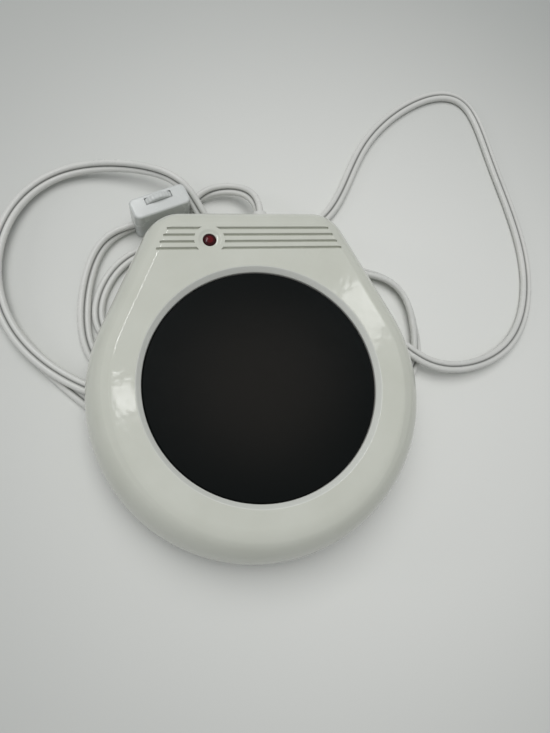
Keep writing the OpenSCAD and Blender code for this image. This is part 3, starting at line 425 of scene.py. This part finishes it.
def evenly(line, step):
    """The line's points again, at even distances along it."""
    at = [0]
    for a, b in zip(line, line[1:]):
        at.append(at[-1] + (b.xyz - a.xyz).length)
    count = max(2, round(at[-1] / step))
    out, i = [], 0
    for k in range(count + 1):
        s = at[-1] * k / count
        while i < len(at) - 2 and at[i + 1] < s:
            i += 1
        out.append(line[i].lerp(line[i + 1], (s - at[i]) / (at[i + 1] - at[i])))
    return out, at[-1]


def two_core_section(steps):
    """Two round cores side by side, joined by a web with a groove above and below."""
    core_r = CORD_T / 2
    core_x = CORD_W / 2 - core_r
    reach = math.pi - math.asin(WEB_SHARE)
    points = []
    for side in (1, -1):
        for k in range(-steps, steps + 1):
            a = reach * k / steps
            points.append((side * (core_x + core_r * math.cos(a)), side * core_r * math.sin(a)))
    return points


def flat_cord(name, line, replaces, step):
    """The two-core flat cord swept along a line of x, y, z and tilt."""
    line, length = evenly(line, step)
    section = two_core_section(CORE_STEPS)
    rings = []
    for i, point in enumerate(line):
        ahead = (line[min(i + 1, len(line) - 1)].xyz - line[max(i - 1, 0)].xyz).normalized()
        side = ahead.cross(Vector((0, 0, 1))).normalized()
        up = side.cross(ahead)
        a = math.radians(point[3])
        across = math.cos(a) * side + math.sin(a) * up
        over = math.cos(a) * up - math.sin(a) * side
        rings.append([point.xyz + u * across + v * over for u, v in section])
    made = piece(name, *joined(rings), "cord_white", replaces, sharp=40)
    # Painted shade in the groove between the cores: the points at its bottom carry 1, those beside
    # them a share, and the cord's material darkens by it.
    groove_shade_marks = {CORE_STEPS: 1, CORE_STEPS - 1: WEB_EDGE_SHADE}
    depth = [groove_shade_marks.get(abs(k), 0) for k in range(-CORE_STEPS, CORE_STEPS + 1)]
    groove = made.data.attributes.new("groove", "FLOAT", "POINT")
    groove.data.foreach_set("value", depth * 2 * len(rings))
    return made, [p.xyz * MM for p in line], length * MM


lead, lead_path, lead_length = flat_cord(
    "lead_cord", spline(LEAD_ROUTE, steps=12), ["cord_lead"], step=1.2)
main, main_path, main_length = flat_cord(
    "main_cord", spline(MAIN_ROUTE, steps=14)[:-1] + coil_line(per_turn=60),
    ["cord_main", "cord_coil"], step=2)


# ---- Housing ----
def outline():
    """Points and outward normals round the crease of the top, anticlockwise."""
    gap = Vector((CORNER_X, CORNER_Y))
    flank = math.atan2(gap.y, gap.x) - math.acos((TOP_R - CORNER_R) / gap.length)
    corner = [Vector((CORNER_X, PLATE_Y + CORNER_Y)), Vector((-CORNER_X, PLATE_Y + CORNER_Y))]
    big = Vector((0, PLATE_Y))
    # Centre, radius, start, stop, steps along the arc and steps along the straight after it
    arcs = [(big, TOP_R, -math.pi - flank, flank, 120, 13),
            (corner[0], CORNER_R, flank, math.pi / 2, 16, 17),
            (corner[1], CORNER_R, math.pi / 2, math.pi - flank, 16, 13)]
    points = []
    for number, (centre, r, start, stop, count, more) in enumerate(arcs):
        for k in range(count + 1):
            a = start + (stop - start) * k / count
            normal = Vector((math.cos(a), math.sin(a)))
            points.append((centre + r * normal, normal))
        last = points[-1][0]
        following = arcs[(number + 1) % 3]
        end = following[0] + following[1] * normal
        points += [(last.lerp(end, k / more), normal) for k in range(1, more)]
    return points


def side_profile(rise, steps):
    """Swell and height up the side from the rim to the crease, for a top at height rise."""
    crease_x = math.sin(CREASE_ANGLE) ** (2 / SIDE_POWER)
    crease_h = math.cos(CREASE_ANGLE) ** (2 / SIDE_POWER)
    width = SIDE_SWELL / (1 - crease_x)
    points = []
    for i in range(steps + 1):
        a = math.pi / 2 - (math.pi / 2 - CREASE_ANGLE) * i / steps
        up = 0 if i == 0 else (rise - RIM_Z) * math.cos(a) ** (2 / SIDE_POWER) / crease_h
        points.append((width * (math.sin(a) ** (2 / SIDE_POWER) - crease_x), RIM_Z + up))
    return points


def height_at(profile, swell):
    """Height of the profile where its swell is the given one."""
    for (a, za), (b, zb) in zip(profile, profile[1:]):
        if b <= swell <= a:
            return za + (zb - za) * (a - swell) / (a - b)
    return profile[-1][1]


# Radius and height over the rounded lip, down its slope and through the hole for the plate
LIP_PROFILE = ((46.5, 32), (46.2, 31.95), (45.95, 31.8), (45.75, 31.55), (44.5, 30.12),
               (44.36, 29.9), (PLATE_HOLE_R, 29.75), (PLATE_HOLE_R, CEILING_Z))


def housing_mesh():
    """Closed shell: up the outside, over the top and lip, then back under the ceiling and down."""
    edge = outline()
    outer = side_profile(TOP_Z, steps=40)
    inner = side_profile(CEILING_Z, steps=14)
    rings = []

    def offset_ring(swell_of, z_of):
        """A ring at a distance from the crease and a height, both by the normal."""
        rings.append([(*(p + swell_of(n) * n), z_of(n)) for p, n in edge])

    def circle_ring(r, z):
        """A ring round the plate's centre."""
        ring = []
        for p, n in edge:
            away = (p - Vector((0, PLATE_Y))).normalized()
            ring.append((r * away.x, PLATE_Y + r * away.y, z))
        rings.append(ring)

    def ease(n):
        """Half the width of the rounding of the crease: crisp on the flanks, soft in front."""
        return EASE_SIDE + EASE_MORE * smooth((-n.y - 0.1) / 0.9)

    rim_steps, ease_steps = 4, 8
    for k in range(rim_steps):
        a = math.pi / 2 * k / rim_steps
        offset_ring(lambda n, a=a: SIDE_SWELL - RIM_ROUND * (1 - math.sin(a)),
                    lambda n, a=a: RIM_Z + RIM_ROUND * (1 - math.cos(a)))
    for swell, z in outer:
        if z > RIM_Z + RIM_ROUND and swell > EASE_ROOM:
            offset_ring(lambda n, s=swell: s, lambda n, z=z: z)
    for k in range(ease_steps + 1):
        f = k / ease_steps
        offset_ring(lambda n, f=f: (1 - f) ** 2 * ease(n) - f * f * ease(n),
                    lambda n, f=f: ((1 - f) ** 2 * height_at(outer, ease(n))
                                    + (1 - (1 - f) ** 2) * TOP_Z))
    for r, z in LIP_PROFILE:
        circle_ring(r, z)
    for swell, z in reversed(inner):
        offset_ring(lambda n, s=swell: s - WALL, lambda n, z=z: z)
    verts, faces = joined(rings, False)
    n, last = len(edge), len(rings) - 1
    for k in range(n):
        m = (k + 1) % n
        faces.append((last * n + k, last * n + m, m, k))
    return verts, faces


def solid(verts, faces):
    """A scratch object in millimetres, with its faces turned outward."""
    data = bpy.data.meshes.new("scratch")
    data.from_pydata([Vector(v) for v in verts], [], faces)
    made = bmesh.new()
    made.from_mesh(data)
    bmesh.ops.recalc_face_normals(made, faces=made.faces)
    made.to_mesh(data)
    made.free()
    return placed("scratch", data)


def turned(profile, count, at=(0, 0)):
    """Points and faces turned about a vertical line, from pairs of radius and height."""
    rings = []
    for r, z in profile:
        r = max(r, 0.001)
        angles = [2 * math.pi * k / count for k in range(count)]
        rings.append([(at[0] + r * math.cos(a), at[1] + r * math.sin(a), z) for a in angles])
    return joined(rings)


def rod(r, low, high, count, at=(0, 0)):
    """A scratch cylinder that stands between two heights."""
    return solid(*turned([(0, low), (r, low), (r, high), (0, high)], count, at))


def lying(made, at):
    """Lays a scratch solid down with its axis along Y, and moves it to a place."""
    made.data.transform(Matrix.Translation(at) @ Matrix.Rotation(-math.pi / 2, 4, "X"))
    return made


def combine(base, tool, operation):
    """Cuts or joins one scratch object with another, which is then removed."""
    change = base.modifiers.new("change", "BOOLEAN")
    change.operation = operation
    change.solver = "EXACT"
    change.object = tool
    bpy.context.view_layer.update()
    seen = base.evaluated_get(bpy.context.evaluated_depsgraph_get())
    data = bpy.data.meshes.new_from_object(seen)
    base.modifiers.remove(change)
    base.data = data
    bpy.data.objects.remove(tool)
    return base


def groove_cutter(y):
    """A groove with a round bottom and eased edges, stopped where the flank's crease comes."""
    half, ease_steps, round_steps = GROOVE_W / 2, 4, 6
    side = [(half + GROOVE_EASE, TOP_Z + 1), (half + GROOVE_EASE, TOP_Z)]
    for k in range(1, ease_steps + 1):
        a = math.pi / 2 * k / ease_steps
        side.append((half + GROOVE_EASE * (1 - math.sin(a)),
                     TOP_Z - GROOVE_EASE * (1 - math.cos(a))))
    low = TOP_Z - GROOVE_DEPTH + half
    for k in range(1, round_steps + 1):
        a = math.pi / 2 * k / round_steps
        side.append((half * math.cos(a), low - half * math.sin(a)))
    section = side + [(-u, z) for u, z in reversed(side[:-1])]
    back = GROOVE_Y + (GROOVE_COUNT - 1) * GROOVE_PITCH + GROOVE_W
    run = (y - GROOVE_Y + GROOVE_W) / (back - GROOVE_Y + GROOVE_W)
    reach = CORNER_X + GROOVE_END - GROOVE_TAPER * run
    rings = [[(x, PLATE_Y + y + u, z) for u, z in section] for x in (-reach, reach)]
    return solid(*joined(rings))


def weighted_normals(made, weight=50):
    """Lets the large faces of a piece lead its shading, between its sharp edges."""
    normals = made.modifiers.new("normals", "WEIGHTED_NORMAL")
    normals.keep_sharp = True
    normals.weight = weight


def housing():
    """The shell with its screw bosses, lens tube and dish, grooves and hole for the cord."""
    body = solid(*housing_mesh())
    for y, top in ((PAD_REAR_Y, REAR_BOSS_TOP), (-PAD_FRONT_Y, FRONT_BOSS_TOP)):
        for x in (PAD_X, -PAD_X):
            boss = rod(BOSS_R, BASE_TOP, top, count=32, at=(x, PLATE_Y + y))
            combine(body, boss, "UNION")
    tube = rod(TUBE_OUT_R, TUBE_END_Z, CEILING_Z + 0.5, count=48, at=LENS)
    combine(body, tube, "UNION")
    for number in range(GROOVE_COUNT):
        cutter = groove_cutter(GROOVE_Y + number * GROOVE_PITCH)
        land = rod(LENS_LAND_R, TOP_Z - 3, TOP_Z + 3, count=72, at=LENS)
        combine(cutter, land, "DIFFERENCE")
        combine(body, cutter, "DIFFERENCE")
    hole_r = LENS_R + LENS_GAP
    dish = [(0, TUBE_END_Z - 0.5), (TUBE_IN_R, TUBE_END_Z - 0.5), (TUBE_IN_R, CEILING_Z),
            (hole_r, CEILING_Z), (hole_r, 31.48), (2.9, 31.5), (3.35, 31.56), (3.75, 31.7),
            (4.1, 31.86), (4.4, 31.96), (4.8, 32.01), (4.8, TOP_Z + 1), (0, TOP_Z + 1)]
    combine(body, solid(*turned(dish, count=64, at=LENS)), "DIFFERENCE")
    hole = lying(rod(RELIEF_HOLE_R, 0, 20, count=48), at=(EXIT_X, 60, EXIT_Z))
    combine(body, hole, "DIFFERENCE")
    data = body.data
    bpy.data.objects.remove(body)
    data.transform(Matrix.Scale(MM, 4))
    made = dressed("housing_shell", data, "white_gloss", ["upper_housing"], sharp=32)
    weighted_normals(made, weight=80)


def pilot_lens():
    """The lens: a flange under the top, and a cap with a low dome."""
    low, shoulder, steps = CEILING_Z, TOP_Z - LENS_DOME, 8
    profile = [(0, low - LENS_FLANGE_T), (LENS_FLANGE_R, low - LENS_FLANGE_T), (LENS_FLANGE_R, low),
               (LENS_R, low), (LENS_R, shoulder - LENS_RIM)]
    for k in range(steps + 1):
        a = math.pi / 2 * k / steps
        profile.append((LENS_R * math.cos(a), shoulder + LENS_DOME * math.sin(a)))
    piece("lens_cap", *turned(profile, count=64, at=LENS), "red_lens", ["pilot_lens"])


housing()
pilot_lens()


# ---- Inline switch: a softly rounded case about a finely ridged thumbwheel ----
def box(low, high):
    """A scratch box between two corners."""
    (a, b, c), (d, e, f) = low, high
    verts = [(x, y, z) for z in (c, f) for x, y in ((a, b), (d, b), (d, e), (a, e))]
    sides = [(k, (k + 1) % 4, (k + 1) % 4 + 4, k + 4) for k in range(4)]
    return solid(verts, [(3, 2, 1, 0), (4, 5, 6, 7)] + sides)


def rounded_box(low, high, upright, edge):
    """A scratch box with its upright edges rounded more than the rest."""
    made = box(low, high)
    mesh = bmesh.new()
    mesh.from_mesh(made.data)
    tall = [e for e in mesh.edges if abs(e.verts[0].co.z - e.verts[1].co.z) > 1]
    bmesh.ops.bevel(mesh, geom=tall, offset=upright, segments=8, profile=0.5, affect="EDGES")
    flat = [e for e in mesh.edges
            if abs(e.verts[0].co.z - e.verts[1].co.z) < 0.01 and len(e.link_faces) == 2
            and abs(e.link_faces[0].normal.z - e.link_faces[1].normal.z) > 0.5]
    bmesh.ops.bevel(mesh, geom=flat, offset=edge, segments=5, profile=0.5, affect="EDGES")
    mesh.to_mesh(made.data)
    mesh.free()
    return made


def at_switch(made, name, slot, replaces, body="warmer", sharp=30):
    """Moves a scratch piece to the switch's place and dresses it."""
    data = made.data
    bpy.data.objects.remove(made)
    turn = Matrix.Rotation(SWITCH_TURN, 4, "Z")
    data.transform(Matrix.Scale(MM, 4) @ Matrix.Translation((*SWITCH_PLACE, 0)) @ turn)
    return dressed(name, data, slot, replaces, body, sharp)


def switch_case():
    """The two halves as one rounded case, with the seam between them and room for the wheel."""
    half_l, half_w = SWITCH_L / 2, SWITCH_W / 2
    case = rounded_box((-half_l, -half_w, 0), (half_l, half_w, SWITCH_H), CASE_CORNER, CASE_EDGE)
    seam = box((-half_l - 1, -SEAM, -1), (half_l + 1, 0, SWITCH_H + 1))
    core = rounded_box((SEAM - half_l, -half_w, SEAM), (half_l - SEAM, half_w, SWITCH_H - SEAM),
                       CORE_EDGE, CORE_EDGE)
    combine(case, combine(seam, core, "DIFFERENCE"), "DIFFERENCE")
    room = lying(rod(WHEEL_R + WHEEL_GAP, 0.01, SLOT_W, count=96), at=(0, 0, WHEEL_Z))
    combine(case, room, "DIFFERENCE")
    made = at_switch(case, "switch_case", "switch_white", ["switch_front", "switch_back"])
    weighted_normals(made)


def thumbwheel():
    """The wheel, open at its axle, with fine ridges round its rim."""
    near = (SLOT_W - WHEEL_T) / 2
    far = near + WHEEL_T
    # Radius and depth from a face, from the axle's hole out to the rim
    half = ((AXLE_R + AXLE_GAP, 0), (WHEEL_R - 1.1, 0), (WHEEL_R - 0.4, 0.08),
            (WHEEL_R - 0.12, 0.3), (WHEEL_R, 0.6))
    profile = [(r, near + e) for r, e in half] + [(r, far - e) for r, e in reversed(half)]
    count = RIDGE_COUNT * RIDGE_STEPS
    rings = []
    for r, y in profile:
        ring = []
        for k in range(count):
            a = 2 * math.pi * k / count
            dip = RIDGE_DEPTH / 2 * (1 - math.cos(2 * math.pi * k / RIDGE_STEPS))
            out = r - dip if r > WHEEL_R - RIDGE_ZONE else r
            ring.append((out * math.sin(a), y, WHEEL_Z + out * math.cos(a)))
        rings.append(ring)
    rings.append(rings[0])
    wheel = solid(*joined(rings, False))
    mesh = bmesh.new()
    mesh.from_mesh(wheel.data)
    bmesh.ops.remove_doubles(mesh, verts=mesh.verts, dist=0.0005)
    bmesh.ops.recalc_face_normals(mesh, faces=mesh.faces)
    mesh.to_mesh(wheel.data)
    mesh.free()
    at_switch(wheel, "thumbwheel_disc", "switch_white", ["thumbwheel", "wheel_contact"],
              body="thumbwheel", sharp=50)


switch_case()
thumbwheel()


# ---- Floor, light and finish ----
def floor():
    """The table top, six metres square, palest about the middle of the view, where a pool of light
    is painted on it.
    """
    reach = 3
    corners = [(-reach, -reach, 0), (reach, -reach, 0), (reach, reach, 0), (-reach, reach, 0)]
    data = bpy.data.meshes.new("floor")
    data.from_pydata(corners, [], [(0, 1, 2, 3)])
    made = placed("floor", data)
    top = surface("table top", (170, 173, 170), (174, 176, 173), (0.5, 0.65), blotch=6, grain=400,
                  bump=0.04, depth=0.0003)
    # Painted light: a pool of light about the middle of the view, fading out over the reach.
    painted_light_centre(top, middle=(50, 0, 0), reach=335, tone=(229, 230, 226))
    data.materials.append(top)


floor()


def area_light(name, direction, distance, width, height, power, target=(0, 0, 0.02), glossy=True,
               spread_angle=180, along=None):
    """A lamp in metres and watts that faces its target from a direction, its width along a line."""
    light = bpy.data.lights.new(name, "AREA")
    light.shape = "RECTANGLE"
    light.size, light.size_y, light.energy = width, height, power
    light.spread = math.radians(spread_angle)
    made = placed(name, light)
    away = Vector(direction).normalized()
    made.location = Vector(target) + away * distance
    made.rotation_mode = "QUATERNION"
    made.rotation_quaternion = away.to_track_quat("Z", "Y")
    if along:
        side = (Vector(along) - Vector(along).dot(away) * away).normalized()
        axes = Matrix((side, away.cross(side), away)).transposed()
        made.rotation_quaternion = axes.to_quaternion()
    made.visible_glossy = glossy
    made.visible_camera = False
    return made


area_light("sky", (-0.09, 0.28, 1), distance=1.6, width=1.2, height=1.6, power=17.2,
           glossy=False)
area_light("left window", (-0.905, 0.198, 0.372), distance=1.1, width=0.3, height=0.3,
           power=0.9, target=(-0.06, -0.01, 0.025), glossy=False)
area_light("near lamp", (-0.08, 0.19, 0.98), distance=0.4, width=0.028, height=0.04,
           power=0.00008, target=(-0.048, -0.008, 0.032), spread_angle=11)
area_light("ceiling lamp", (0.35, 0.32, 0.88), distance=0.3, width=0.055, height=0.075,
           power=0.0007, target=(0.045, 0.02, 0.032), spread_angle=20)
strip = area_light("strip lamp", (-0.16, 0.44, 0.88), distance=0.45, width=0.2, height=0.03,
                   power=0.25, target=(-0.041, 0.037, 0.032), along=(0.418, 0.909, 0))
strip.visible_diffuse = False
world = bpy.data.worlds.new("world")
bpy.context.scene.world = world
world.use_nodes = True
background = world.node_tree.nodes["Background"].inputs
background["Color"].default_value = linear(236, 238, 240)
background["Strength"].default_value = 0.36
